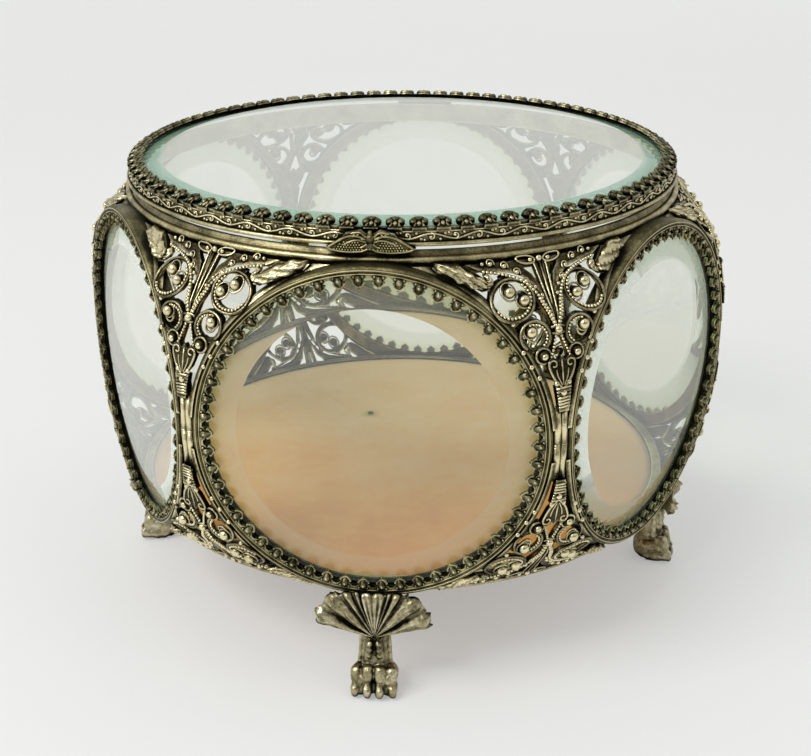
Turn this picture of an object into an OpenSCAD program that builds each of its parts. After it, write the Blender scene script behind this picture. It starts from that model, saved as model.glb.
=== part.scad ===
// Glass casket box: six round bevelled windows in toothed bezels, pierced
// filigree between them, a hinged bevelled glass lid and four lion-paw feet.
// Origin on the table under the middle of the box, front window facing -Y.

/* [Box] */
// Height of the bottom rim above the table
base_height = 28.5; // [26:0.5:34]
// Number of ribs on each small clasp between the windows
clasp_ribs = 5; // [3:1:7]

/* [Windows] */
// Diameter of a window's glass disc
glass_d = 77; // [60:0.5:90]
// Radial thickness of a bezel round its glass
bezel_wall = 2.5; // [2.2:0.1:3]
// Half the space between two neighbouring bezels, across a corner
corner_room = 2.59; // [2.2:0.01:3.2]
// Depth of a bezel from front to back
bezel_depth = 4.4; // [4.2:0.1:4.6]
// Width of the smooth flange round the teeth
flange_w = 1.8; // [1.4:0.1:2.2]
// Thickness of the window glass
glass_t = 2.5; // [2:0.1:2.8]
// Thickness left at the edge of the bevelled window glass
glass_edge_t = 1.1; // [0.8:0.1:1.5]
// Width of the bevel on the window glass
glass_bevel_w = 7.4; // [4:0.1:10]
// Teeth that hold each window glass
tooth_count = 54; // [36:1:58]
// How far a tooth reaches inward over the glass
tooth_reach = 2.8; // [2:0.1:3.2]
// Thickness of the toothed gallery strip
tooth_t = 0.9; // [0.6:0.1:1.1]

/* [Rims and floor] */
// How far the rims stand back from the front of the bezels
rim_inset = 4.6; // [4.5:0.1:5.4]
// Radial thickness of the rims
rim_wall = 2.4; // [2:0.1:3]
// Height of the top rim's skirt behind the windows
top_skirt_h = 3.4; // [2.6:0.2:6]
// Height of the bottom rim's skirt round the floor
bottom_skirt_h = 2.8; // [2.4:0.1:6]
// Radius of the rolled bead on each rim
bead_r = 0.95; // [0.7:0.05:1.1]
// Height of the plain neck above the top bead
neck_h = 1.9; // [1.6:0.1:2.4]
// Height of the floor plate above the bottom of the rim
floor_recess = 0.9; // [0.5:0.1:2]
// Thickness of the floor plate
floor_t = 1; // [0.8:0.1:1.4]
// Thickness of the floor lining
lining_t = 0.8; // [0.5:0.1:1.2]
// Diameter of the rivet head in the floor
rivet_d = 1.5; // [1.2:0.1:3]

/* [Filigree] */
// Thickness of the pierced filigree shell
filigree_t = 1.2; // [0.9:0.1:1.6]
// How far the leaves, ribbons and clasps stand out of the filigree
relief = 0.7; // [0.4:0.1:1.2]
// Diameter of the beads on the scrolls
bead_d = 2.5; // [2:0.1:3]

/* [Lid] */
// How far the lid's edge stands back from the top rim
lid_inset = 0.4; // [0.2:0.1:1.4]
// Open slit left under the closed lid, above the hinge leaves
lid_lift = 0.4; // [0.3:0.05:1.2]
// Height of the lid's ornamental band
band_h = 4.2; // [3.9:0.1:4.6]
// Thickness of the lid glass
lid_glass_t = 3.3; // [3:0.1:3.6]
// Thickness left at the edge of the bevelled lid glass
lid_edge_t = 1.5; // [1:0.1:1.8]
// Width of the bevel on the lid glass
lid_bevel_w = 7; // [5:0.1:10]
// Prongs that hold the lid glass
prong_count = 84; // [60:1:90]
// How far a prong reaches inward over the lid glass
prong_reach = 3.2; // [2.4:0.1:3.4]
// Width of the ribbon bow that lifts the lid
bow_w = 19.6; // [16:0.2:20]
// Height of the ribbon bow
bow_h = 5.2; // [4.6:0.1:5.6]

/* [Hinge] */
// Length of the hinge barrel
hinge_l = 16; // [14:0.5:20]
// Diameter of the hinge barrel
barrel_d = 3.8; // [3.2:0.1:3.9]
// Diameter of the hinge pin
pin_d = 1.8; // [1.4:0.1:2]
// Thickness of each hinge leaf
leaf_t = 0.45; // [0.4:0.05:0.6]

/* [Feet] */
// How far the tip of a paw stands out from the bottom rim
paw_out = 7.6; // [6:0.2:10]
// Width across the four toes
paw_w = 12; // [11:0.2:12.6]
// Width across the leaf at the knee
knee_w = 30; // [24:1:31]
// Width of the leg above the paw
leg_w = 7.8; // [6.6:0.2:8]

/* [Hidden] */

SIDES = ["front", "front_right", "back_right", "back", "back_left", "front_left"];
FEET = ["front", "right", "back", "left"];
smooth = 96;
gap = 0.05;
ball = 1.05;

// Heights and radii that follow from the sizes above. The six bezels meet over
// the corners of a hexagon, so its reach comes from their size
bezel_r = glass_d / 2 + bezel_wall;
side_reach = (bezel_r + corner_room) / tan(30);
rim_r = side_reach - rim_inset;
paw_reach = rim_r + paw_out;
centre_z = base_height + bezel_r;
floor_z = base_height + floor_recess;
body_top = base_height + 2 * bezel_r;
neck_top = body_top + neck_h;
lid_z = neck_top + 2 * leaf_t + lid_lift;
glass_seat = 0.9;
ledge_w = 0.8;
strip_w = 0.5;
gallery_r = bezel_r - flange_w;
tooth_tip_r = gallery_r - tooth_reach;
shell_r = norm([side_reach, bezel_r]);
rim_in = rim_r - rim_wall;
bead_inset = 0.25;
rivet_at = [-0.17 * rim_r, 0.33 * rim_r, floor_z + floor_t];

// The filigree shell is a sphere up to turn_h above the middle, then a cone. Its
// pattern is drawn for a bezel radius of 41 and drawn larger or smaller to fit
fit = bezel_r / 41;
turn_h = 30 * fit;
shell_low = 4 * fit;
shell_near = 60 * fit;
shell_far = 100 * fit;
clasp_low = 8.6 * fit;
clasp_high = 14.4 * fit;
wire = 0.95;
edge_strip = 0.9;
turn_r = sqrt(shell_r * shell_r - turn_h * turn_h);
shell_top_h = bezel_r - bead_r - 0.05;
shell_top_r = rim_r + filigree_t;

lid_r = rim_r - lid_inset;
lid_wall = 1.2;
lid_wall_r = lid_r - 0.3;
lid_glass_r = lid_r - lid_wall;
lid_ledge_w = 2.4;
lid_floor_t = 1.4;
lid_glass_z = lid_z + lid_floor_t;
prong_t = 0.9;
prong_seat_z = lid_z + band_h - prong_t;
prong_lean = 24;
prong_tail = 0.2;
prong_root_in = 0.4;
prong_overhang = prong_tail * prong_reach + prong_t * sin(prong_lean) - prong_root_in;

hinge_gap = 1.7;
hinge_y = lid_r + hinge_gap + barrel_d / 2;
hinge_z = (neck_top + lid_z) / 2;
bore_d = pin_d + 2 * gap;
knuckle_gap = 0.3;
leaf_root_y = rim_in + 0.3;
leaf_edge_y = hinge_y - barrel_d / 2 - 0.6;

// One window at the front, turned to side i
module at_side(i) {
  rotate([0, 0, 60 * i])
    translate([0, -side_reach + bezel_depth, centre_z])
      rotate([90, 0, 0])
        children();
}

// Bezel: a short tube with a rounded flange and a ledge behind the glass
module bezel(i) {
  crown = flange_w / 2;
  ledge = glass_d / 2 - ledge_w;
  color("#8f8562")
    at_side(i)
      union() {
        rotate_extrude($fn = smooth)
          polygon([
            [ledge, 0], [bezel_r, 0], [bezel_r, bezel_depth - crown],
            [gallery_r, bezel_depth - crown], [gallery_r, glass_seat + glass_t],
            [glass_d / 2 + gap, glass_seat + glass_t],
            [glass_d / 2 + gap, glass_seat], [ledge, glass_seat]
          ]);
        translate([0, 0, bezel_depth - crown])
          rotate_extrude($fn = smooth)
            translate([bezel_r - crown, 0])
              intersection() {
                circle(r = crown, $fn = 24);
                translate([-crown, 0])
                  square([flange_w, crown]);
              }
      }
}

// Half outline of one tooth, from its root to its tip, as [length, half width]
function tooth_half(pitch) = [
  [0, 0.42 * pitch], [0.36, 0.18 * pitch], [0.5, 0.31 * pitch],
  [0.68, 0.27 * pitch], [1, 0.07 * pitch]
];

// Closed outline of a row of teeth or prongs that point inward from a circle
function inward_teeth(count, root_r, reach, half) = [
  for (k = [0:count - 1], p = tooth_loop(half))
    let (a = 360 * k / count, r = root_r - p[0] * reach)
      [r * cos(a) - p[1] * sin(a), r * sin(a) + p[1] * cos(a)]
];

// Toothed gallery strip folded over the edge of the window glass
module gallery(i) {
  root_r = gallery_r - strip_w;
  half = tooth_half(2 * PI * root_r / tooth_count);
  color("#6d6446")
    at_side(i)
      translate([0, 0, glass_seat + glass_t])
        linear_extrude(tooth_t)
          difference() {
            circle(r = gallery_r, $fn = smooth);
            polygon(inward_teeth(tooth_count, root_r, root_r - tooth_tip_r, half));
          }
}

function tooth_loop(half) = concat(
  [for (p = half) [p[0], -p[1]]],
  [for (k = [len(half) - 1:-1:0]) half[k]]);

// Bevelled glass disc of a window
module window_glass(i) {
  r = glass_d / 2;
  color("#cfe0d8", 0.5)
    at_side(i)
      translate([0, 0, glass_seat])
        rotate_extrude($fn = smooth)
          polygon([[0, 0], [r, 0], [r, glass_edge_t], [r - glass_bevel_w, glass_t], [0, glass_t]]);
}

// Points of a tilted oval round c
function oval(c, rx, ry, tilt, n = 14) = [
  for (k = [0:n - 1])
    let (a = 360 * k / n, x = rx * cos(a), y = ry * sin(a))
      c + [x * cos(tilt) - y * sin(tilt), x * sin(tilt) + y * cos(tilt)]
];

module oval_loop(c, rx, ry, tilt = 0) {
  difference() {
    polygon(oval(fit * c, fit * rx, fit * ry, tilt));
    polygon(oval(fit * c, fit * rx - wire, fit * ry - wire, tilt));
  }
}

// A flat shape drawn for the standard bezel, at the size of this one
module fitted(points) {
  polygon(fit * points);
}

module both_sides() {
  children();
  mirror([1, 0]) children();
}

// Flat pattern of one filigree corner, as [across, above the middle of the box]
module filigree_pattern() {
  both_sides() {
    // Large scroll eye, the loop under it and the curl beside the leaf
    oval_loop([9, 33], 5.5, 4.1, -18);
    oval_loop([5.5, 25.6], 3.9, 3.6, 10);
    oval_loop([4.1, 21.3], 2.1, 2);
    // Curls that carry the beads inside the loops
    fitted([[9, 37.6], [10.4, 37.2], [10.2, 34.4], [8.7, 34.2]]);
    fitted([[3.8, 34.4], [4.2, 32.6], [7.2, 32.2], [7, 33.8]]);
    fitted([[8.9, 26.2], [9, 27.6], [6.4, 27.6], [6.3, 26.2]]);
    fitted([[3.6, 19.4], [4.6, 19.4], [4.8, 21.6], [3.5, 21.6]]);
    // Solid plate under the rim with its scrolled edge
    fitted([
      [1.1, 32.4], [2.3, 34.4], [4, 36.4], [6.6, 37.7], [10.5, 38.4], [14.5, 38.9],
      [17, 40], [18, 41], [4.8, 41], [5, 39.9], [4, 38.4], [2.6, 37.2], [2, 35.6], [0.9, 33.9]
    ]);
    // Lobe of the knot at the top
    fitted(oval([3, 40.2], 2.5, 1.1, 8));
    // Beaded stems above and below the tie
    fitted([[0.3, 26], [1.2, 26], [3.2, 33], [2.3, 33.4]]);
    fitted([[0.1, 27], [0.9, 27], [2.8, 20.8], [1.9, 20.3]]);
  }
  // Three tongues that rise from the tie
  fitted([
    [-0.35, 26], [-1.9, 40], [-1, 40.4], [-0.3, 36], [0, 40.6],
    [0.3, 36], [1, 40.4], [1.9, 40], [0.35, 26]
  ]);
  fitted([[-1.5, 26], [1.5, 26], [1.5, 27.2], [-1.5, 27.2]]);
}

// Pointed leaf below the scrolls
module leaf_outline() {
  both_sides()
    fitted([[0, 13.4], [2.3, 16], [3.5, 19], [3.1, 20.6], [1.9, 21], [0.9, 20], [0, 21]]);
}

// Ribbon end that runs along the bezel towards the rim
module ribbon_outline() {
  both_sides()
    fitted([
      [13.6, 35.4], [15.4, 35.2], [17.4, 36.3], [20.6, 37.6], [23.6, 39],
      [24.4, 40.4], [22.8, 41.2], [18.4, 41.2], [16.4, 39.4], [14.2, 37.8]
    ]);
}

module clasp_outline() {
  low = 1.2 * fit;
  high = 2 * fit;
  polygon([[-low, clasp_low], [low, clasp_low], [high, clasp_high], [-high, clasp_high]]);
}

// Radius of the shell at a height above the middle, that far out of its face
function ball_r(out, up) = sqrt(pow(shell_r + out, 2) - up * up);

// Bulging shell between the windows: a sphere that meets the rim in a cone
module filigree_shell(from, to) {
  rotate([0, 0, -120])
    rotate_extrude(angle = 60, $fn = smooth)
      union() {
        intersection() {
          difference() {
            circle(r = shell_r + to, $fn = smooth);
            circle(r = shell_r + from, $fn = smooth);
          }
          translate([shell_near, shell_low])
            square([shell_far - shell_near, turn_h - shell_low]);
        }
        polygon([
          [ball_r(from, turn_h), turn_h], [ball_r(to, turn_h), turn_h],
          [shell_top_r + to, shell_top_h], [shell_top_r + from, shell_top_h]
        ]);
      }
}

// A flat shape carried through the shell, square to the corner
module through_shell() {
  rotate([90, 0, 0])
    translate([0, 0, shell_near])
      linear_extrude(shell_far - shell_near)
        children();
}

module bezel_bores(r) {
  for (a = [-30, 30])
    rotate([0, 0, a])
      rotate([90, 0, 0])
        translate([0, 0, shell_near])
          cylinder(r = r, h = shell_far - shell_near, $fn = smooth);
}

// A bead seated on the shell at [across, above the middle]
module bead(drawn_across, drawn_up) {
  across = fit * drawn_across;
  up = fit * drawn_up;
  r = up < turn_h
    ? sqrt(shell_r * shell_r - up * up)
    : turn_r - (up - turn_h) * (turn_r - shell_top_r) / (shell_top_h - turn_h);
  translate([across, -sqrt(r * r - across * across), up])
    sphere(d = bead_d, $fn = 24);
}

// Upper filigree of one corner, with the bezels cut out of its sides
module filigree_corner() {
  rib_w = 3.2 * fit;
  rib_pitch = (clasp_high - clasp_low) / (clasp_ribs + 1);
  difference() {
    union() {
      intersection() {
        filigree_shell(-filigree_t, 0);
        union() {
          through_shell() filigree_pattern();
          bezel_bores(bezel_r + edge_strip);
        }
      }
      intersection() {
        filigree_shell(-filigree_t / 2, relief);
        through_shell()
          union() {
            leaf_outline();
            ribbon_outline();
            clasp_outline();
          }
      }
      for (k = [1:clasp_ribs])
        translate([-rib_w / 2, -shell_r + 0.35, clasp_low + k * rib_pitch])
          rotate([0, 90, 0])
            cylinder(d = 0.8, h = rib_w, $fn = 16);
      for (side = [-1, 1]) {
        bead(side * 9.4, 34.6);
        bead(side * 6.6, 33);
        bead(side * 6.6, 26.8);
        bead(side * 4.1, 21.3);
      }
    }
    bezel_bores(bezel_r);
  }
}

module upper_filigree(k) {
  color("#a39868")
    rotate([0, 0, 30 + 60 * k])
      translate([0, 0, centre_z])
        filigree_corner();
}

module lower_filigree(k) {
  color("#9a8f66")
    rotate([0, 0, 30 + 60 * k])
      translate([0, 0, centre_z])
        mirror([0, 0, 1])
          filigree_corner();
}

// Top rim: skirt behind the windows, rolled bead and plain neck
module top_rim() {
  neck_t = 0.9;
  color("#9b9068")
    rotate_extrude($fn = smooth)
      union() {
        polygon([
          [rim_in, body_top - top_skirt_h], [rim_r, body_top - top_skirt_h],
          [rim_r, body_top], [rim_in + neck_t + 0.4, body_top + 0.6 * neck_h],
          [rim_in + neck_t, neck_top], [rim_in, neck_top]
        ]);
        translate([rim_r - bead_inset, body_top])
          circle(r = bead_r, $fn = 24);
      }
}

module bottom_rim() {
  color("#8f8562")
    rotate_extrude($fn = smooth)
      union() {
        translate([rim_in, base_height])
          square([rim_wall, bottom_skirt_h]);
        translate([rim_r - bead_inset, base_height])
          circle(r = bead_r, $fn = 24);
      }
}

module floor_plate() {
  color("#a08a5c")
    translate([0, 0, floor_z])
      cylinder(r = rim_in, h = floor_t, $fn = smooth);
}

module floor_lining() {
  edge_room = 0.3;
  color("#c8a57c")
    difference() {
      translate([0, 0, floor_z + floor_t])
        cylinder(r = rim_in - edge_room, h = lining_t, $fn = smooth);
      translate(rivet_at - [0, 0, 1])
        cylinder(d = rivet_d + 2 * gap, h = lining_t + 2, $fn = 24);
    }
}

module floor_rivet() {
  head_h = 0.3;
  color("#2c2a20")
    translate(rivet_at)
      cylinder(d = rivet_d, h = lining_t + head_h, $fn = 24);
}

// A straight tapered rod between two points with a ball on its far end, a little
// wider than the rod so the two never touch without crossing
module rod(from, to, r_from, r_to) {
  v = to - from;
  translate(from)
    rotate([0, acos(v[2] / norm(v)), atan2(v[1], v[0])])
      cylinder(r1 = r_from, r2 = r_to, h = norm(v), $fn = 24);
  translate(to)
    sphere(r = ball * r_to, $fn = 24);
}

// Lion-paw foot: four toes with claws, a leg, and a fluted leaf over the knee
module foot(k) {
  heel = [0, 7.4 - paw_reach, 3.4];
  heel_r = 4.6;
  ankle = [0, heel[1], 5];
  knee = [0, 8.4 - paw_reach, 0.6 * base_height];
  socket = [0, leg_w / 2 + 0.4 - rim_in, base_height - 4];
  leaf_root = [0, 4.2 - paw_reach, 0.58 * base_height];
  toe_w = 3.2;
  color("#b5a878")
    rotate([0, 0, 90 * k])
      intersection() {
        union() {
          rod(ankle, knee, leg_w / 2 - 0.2, leg_w / 2 - 0.1);
          rod(knee, socket, leg_w / 2 - 0.1, leg_w / 2);
          translate(socket)
            cylinder(d = leg_w, h = floor_z - socket[2], $fn = 24);
          translate(heel)
            sphere(r = heel_r, $fn = 32);
          for (t = [-1.5:1:1.5])
            toe(t * (paw_w - toe_w) / 3, heel[1]);
          translate(leaf_root)
            leaf();
        }
        foot_room();
      }
}

// Space a foot may fill: all of it under the floor, and a strip before the bezel
module foot_room() {
  spare = 10;
  far = paw_reach + spare;
  union() {
    translate([-knee_w, -far, 0])
      cube([2 * knee_w, far, floor_z]);
    translate([-knee_w, -far, 0])
      cube([2 * knee_w, far - side_reach - gap, base_height + spare]);
  }
}

// One toe: knuckle, pad and claw
module toe(x, heel_y) {
  knuckle = [x, 3.8 - paw_reach, 6.8];
  pad = [x, 2.4 - paw_reach, 3.2];
  claw = [x, 1.1 - paw_reach, 1.2];
  rod([0.45 * x, heel_y, 7.4], knuckle, 1.9, 1.7);
  rod(knuckle - [0, 0.2, 0.5], pad, 1.65, 1.4);
  rod(pad - [0, 0.3, 0], claw, 1.2, 0.9);
}

// Leaf over the knee: flutes that fan up and out from one point on a thin web.
// The middle ones end before the bezel and the outer ones droop below it
module leaf() {
  lean = 12;
  step = 15.5;
  last = 4;
  rise = (0.42 * base_height + 1.1) / cos(lean);
  root_r = 0.85;
  web_t = 0.9;
  tips = [for (a = [-last:1:last])
    let (r = abs(a) == last ? 1.9 : 1.38,
      reach = min(rise / cos(step * a), (knee_w / 2 - ball * r) / max(abs(sin(step * a)), 0.1)))
      [reach * sin(step * a), reach * cos(step * a), r]];
  rotate([lean, 0, 0])
    union() {
      for (a = [-last:1:last])
        let (tip = tips[a + last])
          rod([0.3 * a, 0.1, -0.5], [tip[0], 0, tip[1]], root_r, tip[2]);
      translate([0, web_t / 2, 0])
        rotate([90, 0, 0])
          linear_extrude(web_t)
            polygon(concat([[0, -0.6]], [for (tip = tips) 0.97 * [tip[0], tip[1]]]));
    }
}

// Knuckles of one hinge leaf between x positions, bored for the pin
module knuckle(from, to) {
  translate([from, hinge_y, hinge_z])
    rotate([0, 90, 0])
      cylinder(d = barrel_d, h = to - from, $fn = 48);
}

module pin_bore(d) {
  translate([-hinge_l / 2 - 1, hinge_y, hinge_z])
    rotate([0, 90, 0])
      cylinder(d = d, h = hinge_l + 2, $fn = 48);
}

module hinge_body_leaf() {
  mid = hinge_l / 6;
  color("#857a55")
    difference() {
      union() {
        translate([-hinge_l / 2, leaf_root_y, neck_top])
          cube([hinge_l, leaf_edge_y - leaf_root_y, leaf_t]);
        for (side = [-1, 1])
          translate([side > 0 ? mid + knuckle_gap : -hinge_l / 2, leaf_edge_y - 0.5, neck_top])
            cube([hinge_l / 2 - mid - knuckle_gap, 1.7, leaf_t]);
        knuckle(-hinge_l / 2, -mid - knuckle_gap);
        knuckle(mid + knuckle_gap, hinge_l / 2);
      }
      pin_bore(pin_d);
    }
}

module hinge_lid_leaf() {
  mid = hinge_l / 6;
  color("#857a55")
    difference() {
      union() {
        translate([-hinge_l / 2, leaf_root_y, lid_z - leaf_t])
          cube([hinge_l, leaf_edge_y - leaf_root_y, leaf_t]);
        translate([-mid, leaf_edge_y - 0.5, lid_z - leaf_t])
          cube([2 * mid, 1.7, leaf_t]);
        knuckle(-mid, mid);
      }
      pin_bore(bore_d);
    }
}

module hinge_pin() {
  color("#6b6248")
    union() {
      translate([-hinge_l / 2 - 0.4, hinge_y, hinge_z])
        rotate([0, 90, 0])
          cylinder(d = pin_d, h = hinge_l + 0.8, $fn = 48);
    }
}

// Lid band: wall, lower lip and the ledge under the glass
module lid_band() {
  ledge_r = lid_glass_r - lid_ledge_w;
  color("#a39868")
    rotate_extrude($fn = smooth)
      union() {
        polygon([
          [ledge_r, lid_z], [lid_wall_r, lid_z], [lid_wall_r, prong_seat_z],
          [lid_glass_r + gap, prong_seat_z], [lid_glass_r + gap, lid_glass_z],
          [ledge_r, lid_glass_z]
        ]);
        lid_lip();
      }
}

module lid_lip() {
  translate([lid_r + 0.1, lid_z + 0.5])
    circle(r = 0.5, $fn = 24);
}

// Half outline of one trefoil prong, as [length, half width]
function prong_half(pitch) = [
  [-prong_tail, 0.3 * pitch], [0.22, 0.18 * pitch], [0.42, 0.38 * pitch],
  [0.66, 0.4 * pitch], [0.88, 0.25 * pitch], [1, 0.07 * pitch]
];

// Crown of prongs that leans in over the lid glass
module lid_gallery() {
  half = prong_half(2 * PI * lid_wall_r / prong_count);
  length = prong_reach / cos(prong_lean);
  color("#6d6446")
    union() {
      rotate_extrude($fn = smooth)
        translate([lid_glass_r + gap, prong_seat_z])
          square([lid_wall_r - lid_glass_r - gap, prong_t]);
      for (k = [0:prong_count - 1])
        rotate([0, 0, 360 * k / prong_count])
          translate([lid_wall_r - prong_root_in, 0, prong_seat_z + 0.2])
            rotate([0, prong_lean, 0])
              mirror([1, 0, 0])
                linear_extrude(prong_t)
                  polygon([for (p = tooth_loop(half)) [p[0] * length, p[1]]]);
    }
}

module lid_glass() {
  color("#cfe0d8", 0.5)
    translate([0, 0, lid_glass_z])
      rotate_extrude($fn = smooth)
        polygon([
          [0, 0], [lid_glass_r, 0], [lid_glass_r, lid_edge_t],
          [lid_glass_r - lid_bevel_w, lid_glass_t], [0, lid_glass_t]
        ]);
}

// Ribbon bow soldered to the front of the band, used as the thumb piece
module lid_bow() {
  bow_t = 1.4;
  drop = 1.3;
  half = bow_half(bow_w / 2);
  color("#8f8562")
    difference() {
      intersection() {
        translate([0, 0, lid_z - 2])
          difference() {
            cylinder(r = lid_r + bow_t, h = 10, $fn = smooth);
            translate([0, 0, -1])
              cylinder(r = lid_wall_r, h = 12, $fn = smooth);
            translate([0, 0, band_h - prong_t + 2 - 0.25])
              cylinder(r = lid_wall_r + prong_overhang + 0.1, h = 12, $fn = smooth);
          }
        translate([0, 0, lid_z - drop])
          through_shell()
            polygon(concat(
              half,
              [for (k = [len(half) - 1:-1:0]) [-half[k][0], half[k][1]]]));
      }
      rotate_extrude($fn = smooth)
        lid_lip();
    }
}

// Right half of the bow's outline, from the notch up round the lobe
function bow_half(w) = [
  [0.4, 0.9], [1.6, 0.3], [4.4, 0], [w - 1, 0.4], [w, 1],
  [w - 1.6, 2], [w - 3.6, 3.2], [w - 4.6, bow_h - 0.6], [2, bow_h], [0.6, bow_h - 0.8]
];

for (i = [0:5]) {
  bezel(i);
  gallery(i);
  window_glass(i);
  upper_filigree(i);
  lower_filigree(i);
}
for (i = [0:3]) {
  foot(i);
}
top_rim();
bottom_rim();
floor_plate();
floor_lining();
floor_rivet();
hinge_body_leaf();
hinge_lid_leaf();
hinge_pin();
lid_band();
lid_gallery();
lid_glass();
lid_bow();
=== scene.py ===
import math

import bpy
from mathutils import Matrix, Vector, noise


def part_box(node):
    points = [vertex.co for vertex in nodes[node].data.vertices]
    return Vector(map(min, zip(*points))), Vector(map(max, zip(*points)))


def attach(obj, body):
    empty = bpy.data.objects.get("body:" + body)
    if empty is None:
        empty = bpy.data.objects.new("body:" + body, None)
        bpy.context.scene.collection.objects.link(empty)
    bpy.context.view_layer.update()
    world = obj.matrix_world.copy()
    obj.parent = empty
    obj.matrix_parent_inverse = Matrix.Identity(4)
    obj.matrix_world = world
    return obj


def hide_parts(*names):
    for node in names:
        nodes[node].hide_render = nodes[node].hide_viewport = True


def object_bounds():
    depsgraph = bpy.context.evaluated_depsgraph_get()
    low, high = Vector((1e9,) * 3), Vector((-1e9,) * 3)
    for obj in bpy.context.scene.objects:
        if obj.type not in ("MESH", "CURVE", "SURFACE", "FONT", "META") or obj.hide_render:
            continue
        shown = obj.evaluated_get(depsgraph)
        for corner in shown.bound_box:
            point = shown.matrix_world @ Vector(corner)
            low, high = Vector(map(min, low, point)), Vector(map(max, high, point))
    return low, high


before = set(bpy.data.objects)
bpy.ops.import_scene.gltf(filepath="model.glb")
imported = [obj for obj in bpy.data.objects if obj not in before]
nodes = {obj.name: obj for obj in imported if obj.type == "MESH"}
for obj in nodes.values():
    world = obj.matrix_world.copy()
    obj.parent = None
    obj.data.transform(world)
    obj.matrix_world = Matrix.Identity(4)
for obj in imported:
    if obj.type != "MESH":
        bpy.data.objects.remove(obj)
cad_low, cad_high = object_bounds()

# Rims: two turned rings of silvered brass with a rolled bead, which the bezels are
# soldered to. The brass was antiqued with a dark wash and rubbed bright on its
# high points, and painted shade darkens its hollows along with the wash.

MM = 0.001
# Size of the cloudy patches of tarnish
BLOTCH_MM = 7.0


def colour(hex_code):
    """sRGB hex to the linear values that the shaders take."""
    channels = [int(hex_code[i:i + 2], 16) / 255 for i in (1, 3, 5)]
    linear = [c / 12.92 if c <= 0.04045 else ((c + 0.055) / 1.055) ** 2.4 for c in channels]
    return (*linear, 1.0)


def add(owner, kind, inputs=None, stops=(), **settings):
    """One shader node of a material or of the world, with its settings.

    An input is a fixed value or another node's socket. Stops are a colour ramp's (place, hex).
    """
    shader_node = owner.node_tree.nodes.new(kind)
    for name, value in settings.items():
        setattr(shader_node, name, value)
    for name, value in (inputs or {}).items():
        if isinstance(value, bpy.types.NodeSocket):
            owner.node_tree.links.new(value, shader_node.inputs[name])
        else:
            shader_node.inputs[name].default_value = value
    if stops:
        elements = shader_node.color_ramp.elements
        while len(elements) < len(stops):
            elements.new(0.5)
        for element, (place, hex_code) in zip(elements, stops):
            element.position = place
            element.color = colour(hex_code)
    return shader_node


def new_material(name):
    material = bpy.data.materials.new(name)
    material.use_nodes = True
    material.node_tree.nodes.clear()
    return material


def finish_material(material, surface):
    add(material, "ShaderNodeOutputMaterial", {"Surface": surface})
    return material


def dress(names, material):
    """Gives the named solids of the frame their real finish."""
    for name in names:
        for slot in nodes[name].material_slots:
            slot.material = material


def antiqued_metal_with_painted_shade(name, high, mid, low, wash_and_shade_mm, roughness=0.3, grain_mm=0.5,
                   grain_depth=0.1, rub_mm=0.45, wash=0.0):
    """Brass under a dark wash: bright where hands rub its edges, near black in its hollows,
    where painted shade darkens it as well.

    wash_and_shade_mm is how wide a hollow still holds the wash and the painted shade,
    rub_mm how far an edge is rubbed.
    """
    material = new_material(name)
    place = add(material, "ShaderNodeTexCoord").outputs["Object"]
    # Painted shade as well as the wash: a point darkens by how closely other surfaces, of its own
    # part or of its neighbours, crowd it
    free_of_wash_and_shade = add(material, "ShaderNodeAmbientOcclusion", {"Distance": wash_and_shade_mm * MM},
                     samples=8)
    body_share = add(material, "ShaderNodeAmbientOcclusion", {"Distance": rub_mm * MM},
                     samples=8, inside=True, only_local=True)
    blotches = add(material, "ShaderNodeTexNoise", {
        "Vector": place, "Scale": 1 / (BLOTCH_MM * MM), "Detail": 5.0, "Roughness": 0.65})
    pits = add(material, "ShaderNodeTexNoise", {
        "Vector": place, "Scale": 1 / (grain_mm * MM), "Detail": 3.0, "Roughness": 0.6})
    # The tone mixes the wash and painted shade with rubbed edges, tarnish and pits
    wear_and_shade = -1.025 - wash
    for layer, share in ((free_of_wash_and_shade.outputs["AO"], 1.25), (body_share.outputs["AO"], -0.55),
                         (blotches.outputs["Fac"], 0.8), (pits.outputs["Fac"], 0.45)):
        wear_and_shade = add(material, "ShaderNodeMath", {0: layer, 1: share, 2: wear_and_shade},
                   operation="MULTIPLY_ADD").outputs[0]
    tone = add(material, "ShaderNodeValToRGB", {"Fac": wear_and_shade},
               stops=[(0.0, low), (0.3, mid), (0.62, high), (1.0, high)])
    rough = add(material, "ShaderNodeMapRange", {
        "Value": wear_and_shade, "From Min": 0.0, "From Max": 0.7,
        "To Min": roughness + 0.3, "To Max": roughness})
    bump = add(material, "ShaderNodeBump", {
        "Height": pits.outputs["Fac"], "Strength": 0.7, "Distance": grain_depth * MM})
    brass = add(material, "ShaderNodeBsdfPrincipled", {
        "Base Color": tone.outputs["Color"], "Metallic": 1.0,
        "Roughness": rough.outputs[0], "Normal": bump.outputs["Normal"]})
    return finish_material(material, brass.outputs[0])


# Silvered brass: pale gold where it is rubbed, over hollows made brown-black by the wash and by
# painted shade
silvered_brass = antiqued_metal_with_painted_shade(
    "silvered brass, antiqued and shaded", "#fcf2c9", "#b0a57a", "#2a2618", 1.7, roughness=0.22)
dress(["top_rim", "bottom_rim"], silvered_brass)

# Floor: a brass plate in the bottom rim, with a glued lining of satin and one small
# tack through it. The satin has faded to peach, in slow blotches, browner and more orange towards
# the front.

# Rolled brass sheet, never silvered: warm yellow and dull
floor_brass = antiqued_metal_with_painted_shade(
    "floor brass", "#d09a58", "#b07f44", "#6a4c28", 2.0, roughness=0.4, grain_depth=0.05)
dress(["floor_plate"], floor_brass)

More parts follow.
